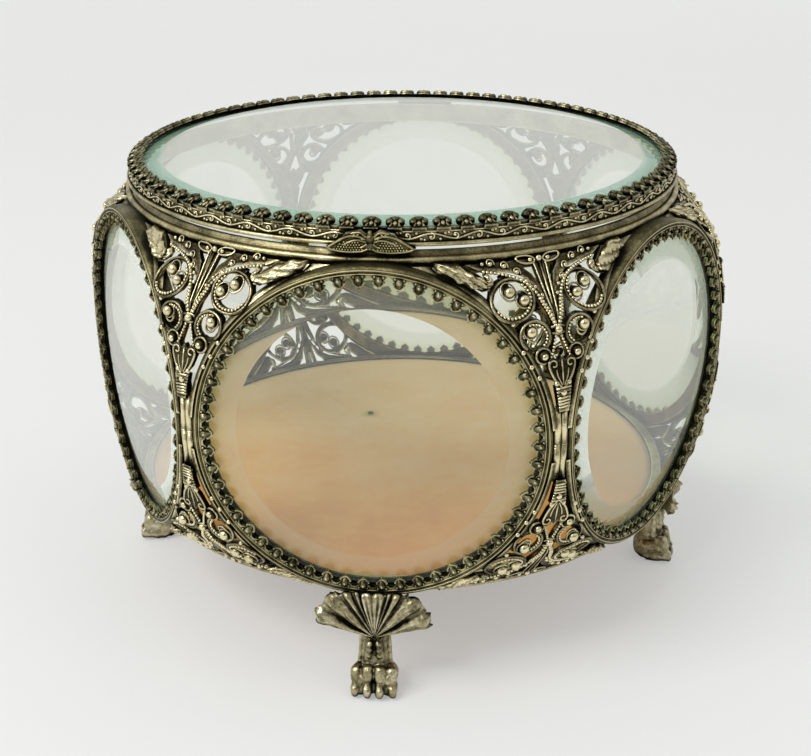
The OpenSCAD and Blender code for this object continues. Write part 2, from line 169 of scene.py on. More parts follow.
# Iron gone to a rough brown-black rust
rusted_iron = antiqued_metal_with_painted_shade(
    "iron tack, rusted", "#5a4426", "#2c2418", "#15110c", 0.5, roughness=0.6, grain_mm=0.3)
dress(["floor_rivet"], rusted_iron)


def make_mesh(name, points, faces, material):
    """A smooth-shaded mesh object from points in millimetres."""
    mesh = bpy.data.meshes.new(name)
    mesh.from_pydata([Vector(p) * MM for p in points], [], faces)
    mesh.validate()
    mesh.materials.append(material)
    mesh.polygons.foreach_set("use_smooth", [True] * len(mesh.polygons))
    piece = bpy.data.objects.new(name, mesh)
    bpy.context.scene.collection.objects.link(piece)
    return piece


def satin_lining():
    """Closed disc with the slow waves of a glued fabric, flat underneath."""
    low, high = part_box("floor_lining")
    radius = high.x / MM
    bottom, top = low.z / MM, high.z / MM
    rings, spokes = 40, 120
    # The edge turns down over its last part, all of it below the solid's top
    turned_edge = 1.2
    points, faces = [], []
    for side in (0, 1):
        points.append((0, 0, bottom if side == 0 else top - 0.1))
        for r in range(1, rings + 1):
            for s in range(spokes):
                angle = 2 * math.pi * s / spokes
                far = radius * r / rings
                x, y = far * math.cos(angle), far * math.sin(angle)
                z = bottom
                if side:
                    wave = noise.noise(Vector((x / 14, y / 14, 3.1)))
                    crease = noise.noise(Vector((x / 5, y / 7, 8.3)))
                    edge = max(0.0, (far - radius + turned_edge) / turned_edge)
                    z = top - 0.13 + 0.1 * wave + 0.03 * crease - 0.3 * edge * edge
                points.append((x, y, z))
    half = 1 + rings * spokes
    for side in (0, 1):
        base = side * half
        for s in range(spokes):
            n = (s + 1) % spokes
            tri = (base, base + 1 + s, base + 1 + n)
            faces.append(tri if side else tri[::-1])
            for r in range(rings - 1):
                a = base + 1 + r * spokes
                quad = (a + s, a + spokes + s, a + spokes + n, a + n)
                faces.append(quad if side else quad[::-1])
    last = 1 + (rings - 1) * spokes
    for s in range(spokes):
        n = (s + 1) % spokes
        faces.append((last + s, last + n, half + last + n, half + last + s))
    return make_mesh("satin_floor_lining", points, faces, faded_satin)


# In mm, by the tack: the middle, full width and faint edge of its rust stain
STAIN_AT, STAIN_R, STAIN_EDGE_R = Vector((-12.05, 23.4, 31.2)), 1.2, 3.4


def satin_material():
    """Woven satin, faded to peach: slow blotches, browner to the front, over soft ribs."""
    material = new_material("faded satin")
    place = add(material, "ShaderNodeTexCoord").outputs["Object"]
    blotches = add(material, "ShaderNodeTexNoise", {
        "Vector": place, "Scale": 1 / (26 * MM), "Detail": 5.0, "Roughness": 0.6})
    specks = add(material, "ShaderNodeTexNoise", {
        "Vector": place, "Scale": 1 / (3.5 * MM), "Detail": 6.0, "Roughness": 0.7})
    along = add(material, "ShaderNodeSeparateXYZ", {"Vector": place})
    front = add(material, "ShaderNodeMapRange", {
        "Value": along.outputs["Y"], "From Min": 45 * MM, "From Max": -68 * MM})
    brown = front.outputs[0]
    for layer, share in ((blotches.outputs["Fac"], 1.15), (specks.outputs["Fac"], 0.6)):
        brown = add(material, "ShaderNodeMath", {0: layer, 1: share, 2: brown},
                    operation="MULTIPLY_ADD").outputs[0]
    brown = add(material, "ShaderNodeMapRange", {
        "Value": brown, "From Min": 0.6, "From Max": 2.0})
    tone = add(material, "ShaderNodeValToRGB", {"Fac": brown.outputs[0]}, stops=[
        (0.0, "#e9cb98"), (0.35, "#e3b676"), (0.65, "#dfa04e"), (1.0, "#cf802c")])
    from_tack = add(material, "ShaderNodeVectorMath", {0: place, 1: STAIN_AT * MM},
                    operation="DISTANCE")
    stain = add(material, "ShaderNodeMapRange", {
        "Value": from_tack.outputs["Value"], "From Min": STAIN_R * MM,
        "From Max": STAIN_EDGE_R * MM, "To Min": 0.85, "To Max": 0.0})
    halo = add(material, "ShaderNodeMix", {
        "Factor": stain.outputs[0], "A": tone.outputs["Color"], "B": colour("#b79a3c")},
        data_type="RGBA")
    # Real threads are about 0.1 mm apart, too fine to show, and ribs 3.184 mm apart stand for them
    ribs = add(material, "ShaderNodeTexWave", {
        "Vector": place, "Scale": 2 * math.pi / (20 * 3.184 * MM), "Distortion": 0.6,
        "Detail": 2.0}, bands_direction="X")
    bump = add(material, "ShaderNodeBump", {
        "Height": ribs.outputs["Fac"], "Strength": 0.15, "Distance": 0.05 * MM})
    satin = add(material, "ShaderNodeBsdfPrincipled", {
        "Base Color": halo.outputs["Result"], "Roughness": 0.62, "Sheen Weight": 0.15,
        "Normal": bump.outputs["Normal"]})
    return finish_material(material, satin.outputs[0])


faded_satin = satin_material()
lining = satin_lining()
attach(lining, "casket")
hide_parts("floor_lining")

# Bezels: a brass tube round each window with a rounded flange, and in it a toothed
# strip that is folded over the glass. The strip is darker than the cast parts.

SIDES = ["front", "front_right", "back_right", "back", "back_left", "front_left"]

# Smooth spun brass, little rubbed: olive, with a soft line of light on the flange
bezel_brass = antiqued_metal_with_painted_shade(
    "bezel brass", "#c0b587", "#645f42", "#211e16", 2.2, grain_depth=0.14)
dress([f"bezel_{side}" for side in SIDES], bezel_brass)

# Stamped brass strip that holds much of the wash: dark, with small glints on its studs
dark_brass = antiqued_metal_with_painted_shade(
    "gallery brass, dark", "#cdc59b", "#57543a", "#16140d", 1.5, roughness=0.28)
dress([f"gallery_{side}" for side in SIDES], dark_brass)


def join(parts):
    """One list of points and faces from many."""
    points, faces = [], []
    for part_points, part_faces in parts:
        base = len(points)
        points.extend(part_points)
        faces.extend(tuple(base + i for i in face) for face in part_faces)
    return points, faces


def ball(centre, radius, segments=8, rings=5, squash=None):
    """A small closed ball; squash is (direction, share) for a flattened one."""
    points = [Vector((0, 0, radius))]
    for j in range(1, rings):
        lean = math.pi * j / rings
        for k in range(segments):
            turn = 2 * math.pi * k / segments
            points.append(Vector((math.sin(lean) * math.cos(turn), math.sin(lean) * math.sin(turn),
                                  math.cos(lean))) * radius)
    points.append(Vector((0, 0, -radius)))
    faces = []
    for k in range(segments):
        n = (k + 1) % segments
        faces.append((0, 1 + k, 1 + n))
        for j in range(rings - 2):
            a = 1 + j * segments
            faces.append((a + k, a + segments + k, a + segments + n, a + n))
        last = 1 + (rings - 2) * segments
        faces.append((last + k, len(points) - 1, last + n))
    if squash:
        axis, share = squash
        points = [q - axis * q.dot(axis) * (1 - share) for q in points]
    return [q + Vector(centre) for q in points], faces


def tube(path, radii, sides=6, closed=False):
    """A round wire along a path, with flat ends unless it is closed."""
    count = len(path)
    if not isinstance(radii, (list, tuple)):
        radii = [radii] * count
    points, faces = [], []
    across = None
    for k, here in enumerate(path):
        ahead = path[(k + 1) % count] if closed or k < count - 1 else here
        behind = path[k - 1] if closed or k > 0 else here
        along = (ahead - behind).normalized()
        if across is None:
            across = along.orthogonal().normalized()
        across = (across - along * across.dot(along)).normalized()
        side = along.cross(across)
        for j in range(sides):
            turn = 2 * math.pi * j / sides
            points.append(here + (across * math.cos(turn) + side * math.sin(turn)) * radii[k])
    for k in range(count if closed else count - 1):
        for j in range(sides):
            a, b = k * sides, ((k + 1) % count) * sides
            n = (j + 1) % sides
            faces.append((a + j, a + n, b + n, b + j))
    if not closed:
        faces.append(tuple(range(sides))[::-1])
        faces.append(tuple((count - 1) * sides + j for j in range(sides)))
    return points, faces


BEZEL_DEPTH, GLASS_SEAT, GLASS_T, TOOTH_T = 4.4, 0.9, 2.5, 0.9
GALLERY_R, TOOTH_TIP_R, TOOTH_COUNT = 39.2, 36.4, 54
CENTRE_Z, SIDE_REACH = 69.5, 75.5


def at_window(i, radius, angle, depth):
    """Point on window i, by radius and angle in its own plane and depth behind its front."""
    turn = math.radians(60 * i)
    out = Vector((math.sin(turn), -math.cos(turn), 0))
    across = Vector((math.cos(turn), math.sin(turn), 0))
    height = CENTRE_Z + radius * math.sin(angle)
    return out * (SIDE_REACH - depth) + across * radius * math.cos(angle) + Vector((0, 0, height))


STUD_R = 0.36


def tooth_relief(i):
    """Two knuckles at the root of each tooth, a stud over them and a ridge down its middle."""
    face = BEZEL_DEPTH - GLASS_SEAT - GLASS_T - TOOTH_T
    parts = []
    for k in range(TOOTH_COUNT):
        angle = 2 * math.pi * k / TOOTH_COUNT
        wobble = 0.04 * math.sin(k * 2.7 + i)
        for r, aside, rise in ((GALLERY_R - 0.3, 0.024, 0.05), (GALLERY_R - 0.3, -0.024, 0.05),
                               (GALLERY_R - 0.95, 0, 0.5)):
            place = at_window(i, r, angle + aside, face - rise + wobble)
            parts.append(ball(place, STUD_R))
        ridge = [at_window(i, GALLERY_R - 0.1, angle, face + 0.2),
                 at_window(i, GALLERY_R - 1.3, angle, face + 0.15),
                 at_window(i, TOOTH_TIP_R - 0.45, angle, face + 0.4)]
        parts.append(tube(ridge, [1.0, 0.9, 0.1], 4))
    return join(parts)


def flange_lines(i):
    """Two turned lines round the flange, with the dark of a groove between them."""
    parts = []
    steps = 144
    for radius, depth, wire_r in ((GALLERY_R + 0.22, 0.12, 0.2), (GALLERY_R + 1.05, 0.0, 0.17)):
        ring = [at_window(i, radius, 2 * math.pi * k / steps, depth) for k in range(steps)]
        parts.append(tube(ring, wire_r, closed=True))
    return join(parts)


for i, side in enumerate(SIDES):
    teeth = make_mesh(f"tooth_relief_{side}", *tooth_relief(i), dark_brass)
    lines = make_mesh(f"flange_lines_{side}", *flange_lines(i), bezel_brass)
    for relief in (teeth, lines):
        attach(relief, "casket")

# Window and lid glass: discs of clear plate glass, ground and polished to a bevel all
# round. Teeth hold the windows in their bezels, and prongs hold the lid's disc.


def bevelled_glass(name, face, edge, middle, axis, clear_r, rim_r, haze, dust,
                   milk_tone, paler_behind=0.0):
    """Clear glass, greener over its bevel, where light runs further through it.

    The bevel is told by the distance from the disc's own axis. It lies between clear_r
    and rim_r, in mm. haze and dust are how milky the bevel and the face are.
    """
    material = new_material(name)
    place = add(material, "ShaderNodeTexCoord").outputs["Object"]
    arm = add(material, "ShaderNodeVectorMath", {0: place, 1: middle}, operation="SUBTRACT")
    beside = add(material, "ShaderNodeVectorMath", {0: arm.outputs[0], 1: axis},
                 operation="CROSS_PRODUCT")
    far = add(material, "ShaderNodeVectorMath", {0: beside.outputs[0]}, operation="LENGTH")
    share = add(material, "ShaderNodeMapRange", {
        "Value": far.outputs["Value"], "From Min": clear_r * MM, "From Max": rim_r * MM})
    tint = add(material, "ShaderNodeValToRGB", {"Fac": share.outputs[0]}, stops=[
        (0.0, face), (BEVEL_BEGINS, edge[0]), (0.5, edge[1]), (1.0, edge[2])])
    # The lid's bevel is greener towards the front edge than at the back
    depth = add(material, "ShaderNodeSeparateXYZ", {"Vector": place})
    paler = add(material, "ShaderNodeMapRange", {
        "Value": depth.outputs["Y"], "From Min": -60 * MM, "From Max": 20 * MM,
        "To Min": 0.0, "To Max": paler_behind})
    tint = add(material, "ShaderNodeMix", {
        "Factor": paler.outputs[0], "A": tint.outputs["Color"], "B": colour(face)},
        data_type="RGBA")
    glass = add(material, "ShaderNodeBsdfPrincipled", {
        "Base Color": tint.outputs["Result"], "Roughness": 0.0, "IOR": 1.5,
        "Transmission Weight": 1.0})
    # Light scattered by the ground bevel, and by the dust on the clear face
    milk_tint = add(material, "ShaderNodeValToRGB", {"Fac": share.outputs[0]}, stops=[
        (0.0, "#f0efe8"), (BEVEL_BEGINS, milk_tone), (1.0, milk_tone)])
    milk = add(material, "ShaderNodeBsdfDiffuse", {"Color": milk_tint.outputs["Color"]})
    haze_here = add(material, "ShaderNodeMapRange", {
        "Value": paler.outputs[0], "To Min": haze, "To Max": dust})
    milky = add(material, "ShaderNodeMapRange", {
        "Value": share.outputs[0], "From Min": 0.0, "From Max": BEVEL_BEGINS, "To Min": dust,
        "To Max": haze_here.outputs[0]})
    ground = add(material, "ShaderNodeMixShader", {
        0: milky.outputs[0], 1: glass.outputs[0], 2: milk.outputs[0]})
    # Plain see-through for light and for mirror images, so that the box inside isn't dark.
    # A ray bent by the glass counts as glossy too, and isn't a mirror image
    light_path = add(material, "ShaderNodeLightPath")
    unseen = add(material, "ShaderNodeMath", {
        0: light_path.outputs["Is Shadow Ray"], 1: light_path.outputs["Is Diffuse Ray"]},
        operation="MAXIMUM")
    mirrored = add(material, "ShaderNodeMath", {
        0: light_path.outputs["Is Glossy Ray"], 1: light_path.outputs["Is Transmission Ray"]},
        operation="SUBTRACT")
    unseen = add(material, "ShaderNodeMath", {
        0: unseen.outputs[0], 1: mirrored.outputs[0]}, operation="MAXIMUM")
    clear = add(material, "ShaderNodeBsdfTransparent", {"Color": tint.outputs["Result"]})
    mixed = add(material, "ShaderNodeMixShader", {
        0: unseen.outputs[0], 1: ground.outputs[0], 2: clear.outputs[0]})
    return finish_material(material, mixed.outputs[0])


# Colours of the bevel from its inner edge to the rim
FRONT_EDGE = ("#f1f3ea", "#ecefdf", "#ccd3a8")
SIDE_EDGE = ("#dce5da", "#d4decf", "#bdcaac")
LID_EDGE = ("#a6cab5", "#abcab3", "#b9cda2")
# The share of the bevel over which its colour comes in
BEVEL_BEGINS = 0.06

for i, side in enumerate(SIDES):
    middle = at_window(i, 0, 0, 0) * MM
    axis = Vector((middle.x, middle.y, 0)).normalized()
    edge = FRONT_EDGE if side in ("front", "back") else SIDE_EDGE
    dress([f"glass_{side}"], bevelled_glass(
        f"window glass {side}", "#f6f8f3", edge, middle, axis, clear_r=30.9, rim_r=38.5,
        haze=0.09, dust=0.035, milk_tone="#e6e4d8"))

dress(["lid_glass"], bevelled_glass(
    "lid glass", "#f4f8f5", LID_EDGE, Vector((0, 0, 0)), Vector((0, 0, 1)), clear_r=62.1,
    rim_r=69.3, haze=0.42, dust=0.2, milk_tone="#8fb5a0", paler_behind=0.8))

# Filigree: six pierced brass castings above the windows' meeting points and the
# same six turned over below. Wires, beads and leaves stand up on each, and all
# are cast as one and soldered between the bezels and the rims.

# Cast brass, silvered: deep black between the wires, from the wash and from painted shade, and
# bright along their tops
filigree_brass = antiqued_metal_with_painted_shade(
    "filigree brass", "#e9deb2", "#5c5438", "#14110b", 2.1, roughness=0.2, grain_depth=0.14,
    rub_mm=0.7, wash=0.12)
dress([f"{row}_filigree_{k + 1}" for row in ("upper", "lower") for k in range(6)], filigree_brass)

# The same brass where bosses, beads and clasps stand out and are rubbed brightest
rubbed_brass = antiqued_metal_with_painted_shade(
    "filigree brass, rubbed bright", "#eee3b9", "#9c9167", "#2b2718", 0.9, roughness=0.2,
    rub_mm=0.6, wash=-0.3)

# The castings' shell is a sphere up to TURN_H above the middle, then a cone
SHELL_R, TURN_H, SHELL_TOP_H, SHELL_TOP_R = 85.91, 30.0, 40.0, 72.1
TURN_R = math.sqrt(SHELL_R ** 2 - TURN_H ** 2)
# How high wires and leaves may reach under the rim's bead
WIRE_TOP_H, LEAF_TOP_H = 40.7, 40.6


def on_shell(across, up, out):
    """Point on the bulging shell, by the drawing's across and height above the middle."""
    if up < TURN_H:
        ring = math.sqrt(SHELL_R ** 2 - up * up)
    else:
        ring = TURN_R - (up - TURN_H) * (TURN_R - SHELL_TOP_R) / (SHELL_TOP_H - TURN_H)
    ring += out
    return Vector((across, -math.sqrt(ring * ring - across * across), up))


def every(path, pitch):
    """Points along a path, one pitch apart."""
    out, spare = [], 0.0
    for a, b in zip(path, path[1:]):
        length = (b - a).length
        while spare < length:
            out.append(a.lerp(b, spare / length))
            spare += pitch
        spare -= length
    return out


def oval(cx, cy, rx, ry, tilt=0.0, start=0.0, sweep=360.0, count=20):
    """Points of an oval arc in the drawing."""
    lean = math.radians(tilt)
    out = []
    for k in range(count if sweep >= 360 else count + 1):
        turn = math.radians(start + sweep * k / count)
        x, y = rx * math.cos(turn), ry * math.sin(turn)
        out.append((cx + x * math.cos(lean) - y * math.sin(lean),
                    cy + x * math.sin(lean) + y * math.cos(lean)))
    return out


def curl(cx, cy, radius, start, sweep, shrink, count=18):
    """A scroll that winds in towards its middle, to shrink times its first radius."""
    out = []
    for k in range(count + 1):
        turn = math.radians(start + sweep * k / count)
        r = radius * (1 - (1 - shrink) * k / count)
        out.append((cx + r * math.cos(turn), cy + r * math.sin(turn)))
    return out


def curve(drawn, count=8):
    """Smooth line through drawn points."""
    ends = [drawn[0]] + list(drawn) + [drawn[-1]]
    out = []
    for a, b, c, d in zip(ends, ends[1:], ends[2:], ends[3:]):
        for k in range(count):
            t = k / count
            out.append(tuple(
                0.5 * (2 * b[n] + (c[n] - a[n]) * t
                       + (2 * a[n] - 5 * b[n] + 4 * c[n] - d[n]) * t * t
                       + (3 * b[n] - a[n] - 3 * c[n] + d[n]) * t ** 3) for n in (0, 1)))
    return out + [drawn[-1]]


def leaf_blade(line, widths, height, seed, ribs=5):
    """A crumpled cast leaf along a drawn line: a closed patch with folds, on the shell."""
    flat = curve(line, 6)
    count, cross = len(flat), 8
    points, faces = [], []
    for k, (x, y) in enumerate(flat):
        ahead, behind = flat[min(k + 1, count - 1)], flat[max(k - 1, 0)]
        dx, dy = ahead[0] - behind[0], ahead[1] - behind[1]
        size = math.hypot(dx, dy)
        nx, ny = -dy / size, dx / size
        t = k / (count - 1)
        place = t * (len(widths) - 1)
        low = min(int(place), len(widths) - 2)
        width = widths[low] + (widths[low + 1] - widths[low]) * (place - low)
        width *= 1 + 0.16 * math.sin(t * ribs * 2 * math.pi + seed)
        for j in range(cross + 1):
            v = 2 * j / cross - 1
            crest = math.sqrt(1 - v * v)
            fold = 0.42 * math.sin((v * 2.2 + t * ribs * 1.3) * math.pi + seed)
            lift = 0.7 * crest + height * crest * (0.6 + fold)
            lift += 0.3 * noise.noise(Vector((x * 1.1, y * 1.1, seed)))
            if j in (0, cross) or k in (0, count - 1):
                lift = -0.3
            points.append(on_shell(x + nx * v * width, min(y + ny * v * width, LEAF_TOP_H), lift))
    under = len(points)
    points += [on_shell(x, min(y, LEAF_TOP_H), -0.5) for x, y in flat]
    row = cross + 1
    for k in range(count - 1):
        for j in range(cross):
            a = k * row + j
            faces.append((a, a + 1, a + row + 1, a + row))
        faces.append((k * row, k * row + row, under + k + 1, under + k))
        faces.append((k * row + cross, under + k, under + k + 1, k * row + row + cross))
    faces.append((under, *range(cross, -1, -1)))
    last = (count - 1) * row
    faces.append((under + count - 1, *range(last, last + row)))
    return points, faces


def casting_relief():
    """The raised work of one casting, its wires apart from what is rubbed bright."""
    parts, proud = [], []

    def along_shell(drawn, out):
        return [on_shell(x, min(y, WIRE_TOP_H), out) for x, y in drawn]

    def wire(drawn, radius, out, closed=False, sides=6, where=parts):
        where.append(tube(along_shell(drawn, out), radius, sides, closed))

    def bead_row(drawn, radius, pitch, out):
        for place in every(along_shell(drawn, out), pitch):
            proud.append(ball(place, radius, 7, 4))

    def boss(x, y, radius, ring=True, out=0.8):
        face = on_shell(x, y, 1.0) - on_shell(x, y, 0.0)
        proud.append(ball(on_shell(x, y, out), 1.08 * radius, 12, 8, (face, 0.75)))
        if ring:
            wire(oval(x, y, radius + 0.5, radius + 0.45, count=18), 0.24, 0.1, True)

    for side in (1, -1):
        def half(drawn):
            return [(side * x, y) for x, y in drawn]
        # Large scroll eye: an outer wire, a row of beads inside it, two bosses in rings
        wire(half(oval(9, 33, 5.15, 3.75, -18, count=36)), 0.42, 0.1, True)
        bead_row(half(oval(9, 33, 4.4, 3.0, -18, 150, 205, 20)), 0.4, 0.86, 0.25)
        boss(side * 9.4, 34.6, 1.2)
        boss(side * 6.6, 33.0, 1.15)
        # Loop under it
        wire(half(oval(5.5, 25.6, 3.5, 3.2, 10, -60, 285, 30)), 0.4, 0.1)
        bead_row(half(oval(5.5, 25.6, 2.8, 2.5, 10, 60, 170, 14)), 0.34, 0.76, 0.2)
        wire(half(curl(5.8, 25.7, 2.0, 100, -300, 0.35)), 0.3, 0.05)
        boss(side * 6.6, 26.8, 1.1)
        wire(half(oval(4.1, 21.3, 1.75, 1.65)), 0.34, 0.1, True)
        boss(side * 4.1, 21.3, 0.75, False)
        # Beaded lines from the tie out under the rim, and down to the leaf
        outer = half(curve([(0.3, 27.4), (2.5, 33), (5.4, 36.3), (9.6, 37.9), (14.0, 38.7)]))
        wire(outer, 0.3, 0.05)
        bead_row(outer, 0.42, 0.86, 0.4)
        bead_row(half(curve([(0.6, 27.4), (1.9, 30.5), (2.9, 33.2)])), 0.36, 0.76, 0.3)
        bead_row(half(curve([(0.5, 25.8), (1.4, 23.2), (2.4, 20.6)])), 0.36, 0.78, 0.3)
        # Scrolled plate under the rim: curls that end in dots
        for x, y, r, start, sweep in ((11.6, 39.9, 1.0, 200, -330), (8.6, 39.3, 0.95, 210, -330),
                                      (6.1, 38.0, 0.9, 220, -330), (4.6, 36.2, 0.75, 230, -330)):
            wire(half(curl(x, y, r, start, sweep, 0.3, 14)), 0.22, 0.08)
            boss(side * x, y, 0.5, False, 0.35)
        for x, y in ((13.4, 40.0), (2.9, 35.0), (1.9, 33.4)):
            boss(side * x, y, 0.42, False, 0.35)
        # Lobes of the top knot
        wire(half(oval(3.2, 40.0, 2.2, 0.75, 8)), 0.28, 0.1, True)
        boss(side * 2.2, 39.9, 0.5, False, 0.35)
        # Tongues that rise from the tie
        wire(half(curve([(0.25, 26.6), (0.9, 33), (1.5, 39.6)])), 0.22, 0.1)
        # Ribbon end: a crumpled leaf
        proud.append(leaf_blade(half([(13.9, 36.5), (16.6, 37.2), (19.6, 38.8), (23.4, 40.1)]),
                                [0.8, 1.7, 1.8, 1.0], 1.9, 1.7 * side, 4))
        proud.append(leaf_blade(half([(14.0, 36.0), (12.9, 37.0), (13.4, 38.2)]),
                                [0.5, 0.9, 0.5], 0.8, 2.2))
        # Pointed leaf: edge, spiral and vein
        wire(half(curve([(0.1, 13.8), (2.1, 16.2), (3.2, 19), (2.9, 20.2)])), 0.3, 0.62)
        wire(half(curl(2.1, 19.3, 1.1, 20, 300, 0.3)), 0.26, 0.68)
        wire(half(curve([(0.25, 14.6), (1.2, 16.6), (1.5, 18.2)])), 0.2, 0.66)
        # Dots down the open corner between casting and bezel
        for x, y in ((10.2, 28.6), (8.6, 22.5), (7.0, 19.2), (5.3, 16.6)):
            boss(side * x, y, 0.55, False, -0.1)
    wire([(0, 27), (0, 33), (0, 40.2)], 0.24, 0.1)
    wire([(0, 14.6), (0, 17.5), (0, 20.4)], 0.26, 0.66)
    # Strip that closes the gap between two bezels
    for x in (-0.9, 0.9):
        wire([(x, -0.3), (0.85 * x, 4.0), (1.1 * x, 9.0)], 1.0, -1.05, sides=10, where=proud)
    # Wire wound round the clasp
    for n in range(8):
        x, y = 1.15 + 0.1 * n, 8.9 + 0.72 * n
        wire([(-x, y - 0.12), (0, y), (x, y + 0.12)], 0.27, 0.7, where=proud)
    # Tie, knot and the small crown above the clasp
    proud.append(ball(on_shell(0, 26.6, 0.5), 0.95, 14, 9))
    wire([(-1.7, 27.1), (0, 27.5), (1.7, 27.1)], 0.34, 0.3)
    wire([(-1.5, 25.9), (0, 25.6), (1.5, 25.9)], 0.3, 0.3)
    boss(0, 40.0, 0.7, False, 0.35)
    boss(0, 12.9, 0.8, False, 0.6)
    for x in (-1.5, 1.5):
        boss(x, 15.0, 0.6, False, 0.5)
    return join(parts), join(proud)


# Radius of the box's own outermost circle, which the relief stays behind
OUTERMOST_R = 86.1


def within_shell(q):
    return Vector((q.x, q.y * min(1.0, OUTERMOST_R / math.hypot(q.x, q.y)), q.z))


middle = Vector((0, 0, CENTRE_Z))
for kind, finish, (points, faces) in zip(
        ("relief", "bosses"), (filigree_brass, rubbed_brass), casting_relief()):
    points = [within_shell(q) for q in points]
    for k in range(6):
        turn = Matrix.Rotation(math.radians(30 + 60 * k), 4, "Z")
        for row, flip in (("upper", 1), ("lower", -1)):
            placed = [turn @ Vector((q.x, q.y, flip * q.z)) + middle for q in points]
            wound = faces if flip > 0 else [face[::-1] for face in faces]
            piece = make_mesh(f"{row}_filigree_{kind}_{k + 1}", placed, wound, finish)
            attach(piece, "casket")

# Feet: four lion paws with an acanthus leaf at the knee, cast in brass from one
# mould and soldered under the floor. The pattern is made of overlapping limbs,
# fused into a single skin.

# Cast brass, silvered, with the small dents of its sand mould and nearly white glints
cast_brass = antiqued_metal_with_painted_shade(
    "cast brass", "#fffbe6", "#b5ab84", "#1d1910", 2.2, roughness=0.13, grain_mm=0.9,
    grain_depth=0.3)
PAW_REACH, BASE_HEIGHT, FLOOR_Z = 78.5, 28.5, 29.4
LEAF_ROOT = Vector((0, 4.2 - PAW_REACH, 0.545 * BASE_HEIGHT))
LEAF_LEAN = math.radians(9)


def limb(path, radii, sides=16):
    """A round limb with rounded ends."""
    path = [Vector(p) for p in path]
    return [tube(path, list(radii), sides)] + [ball(p, r, 16, 10) for p, r in zip(path, radii)]


# Flutes lie between these directions, in degrees from straight up. The last two are lobes
FLUTE_EDGES = (0, 12, 18, 27, 46, 66)
FIRST_LOBE = 3
FLUTE_STEPS, LEAF_STEPS = 10, 22
LEAF_HEIGHT, LOBE_LENGTH, FLUTE_TALL, LEAF_FRONT = 14.6, 17.0, 1.7, 4.15


def leaf_place(fan, far, out):
    """Point over the leaf's leaning plane, by direction and distance from its root."""
    turn = math.radians(fan)
    across, up = far * math.sin(turn), far * math.cos(turn)
    return LEAF_ROOT + Vector((
        across, -out * math.cos(LEAF_LEAN) - up * math.sin(LEAF_LEAN),
        up * math.cos(LEAF_LEAN) - out * math.sin(LEAF_LEAN)))


def leaf_reach(fan):
    """Length of the leaf in one direction: cut level under the bezel, then two drooping lobes."""
    wide = abs(fan)
    level = LEAF_HEIGHT / math.cos(math.radians(min(wide, 50)))
    lobe = LOBE_LENGTH - 0.045 * max(0.0, wide - 42) ** 1.25
    return min(level, lobe)


def fluted_leaf():
    """Closed leaf: rounded flutes with deep grooves between them that meet at the root."""
    fans = []
    for side in (-1, 1):
        edges = list(zip(FLUTE_EDGES, FLUTE_EDGES[1:]))
        half = [(a + (b - a) * k / FLUTE_STEPS, k / FLUTE_STEPS, n)
                for n, (a, b) in enumerate(edges) for k in range(FLUTE_STEPS)]
        half.append((FLUTE_EDGES[-1], 0.0, len(edges) - 1))
        fans += [(-f, t, n) for f, t, n in half[::-1]] if side < 0 else half[1:]
    front, back = [], []
    for fan, t, n in fans:
        ridge = math.sin(math.pi * t) ** 0.55 if 0 < t < 1 else 0.0
        outer = n >= FIRST_LOBE
        reach = leaf_reach(fan) * (0.955 + 0.045 * ridge)
        if outer:
            reach += 1.3 * noise.noise(Vector((fan / 3.0, 1.0, 7.0)))
        # The wide flutes in the middle are nearly flat, with a crease along each
        if n == 0:
            ridge = (0.75 + 0.25 * ridge) * (1 - 0.3 * math.exp(-((t - 0.55) / 0.12) ** 2))
        for k in range(LEAF_STEPS + 1):
            s = k / LEAF_STEPS
            far = 0.2 + (reach - 0.2) * s
            width = math.radians(FLUTE_EDGES[n + 1] - FLUTE_EDGES[n]) * far
            tall = min(0.75 * width, FLUTE_TALL)
            end = math.sqrt(max(0.0, 1 - max(0.0, (s - 0.86) / 0.14) ** 2))
            turned = 2.2 * s * noise.noise(Vector((n * 3.3, fan / 60.0, 2.0)))
            vein = 0.1 * math.sin(fan * 1.9) + 0.16 * noise.noise(Vector((fan / 5, far / 2.2, 4.0)))
            if outer:
                vein += 0.5 * math.sin(abs(fan) * 1.1 + 1.2 * s) * s
            low = -0.65 + 0.25 * s
            out = low + (tall * ridge + vein * ridge * s) * (0.35 + 0.65 * end)
            droop = 0.0
            if outer:
                droop = (2.0 if n == FIRST_LOBE else 5.0) * s * s
                crumple = noise.noise(Vector((fan / 2.5, far / 1.6, 9.0)))
                out += 0.5 * s ** 3 * end + 0.45 * s * crumple
            fold = fan + turned + (droop if fan > 0 else -droop)
            height = far * math.cos(math.radians(fold))
            limit = (LEAF_FRONT - height * math.sin(LEAF_LEAN)) / math.cos(LEAF_LEAN)
            front.append(leaf_place(fold, far, min(out, limit)))
            back.append(leaf_place(fold, far, -0.95 + 0.3 * s))
    row = LEAF_STEPS + 1
    count, half = len(fans), len(front)
    faces = []
    for a in range(count - 1):
        for k in range(LEAF_STEPS):
            p = a * row + k
            faces.append((p, p + row, p + row + 1, p + 1))
            faces.append((half + p, half + p + 1, half + p + row + 1, half + p + row))
        faces.append((a * row + LEAF_STEPS, (a + 1) * row + LEAF_STEPS,
                      half + (a + 1) * row + LEAF_STEPS, half + a * row + LEAF_STEPS))
        faces.append((a * row, half + a * row, half + (a + 1) * row, (a + 1) * row))
    last = (count - 1) * row
    for k in range(LEAF_STEPS):
        faces.append((k, k + 1, half + k + 1, half + k))
        faces.append((last + k, half + last + k, half + last + k + 1, last + k + 1))
    return front + back, faces


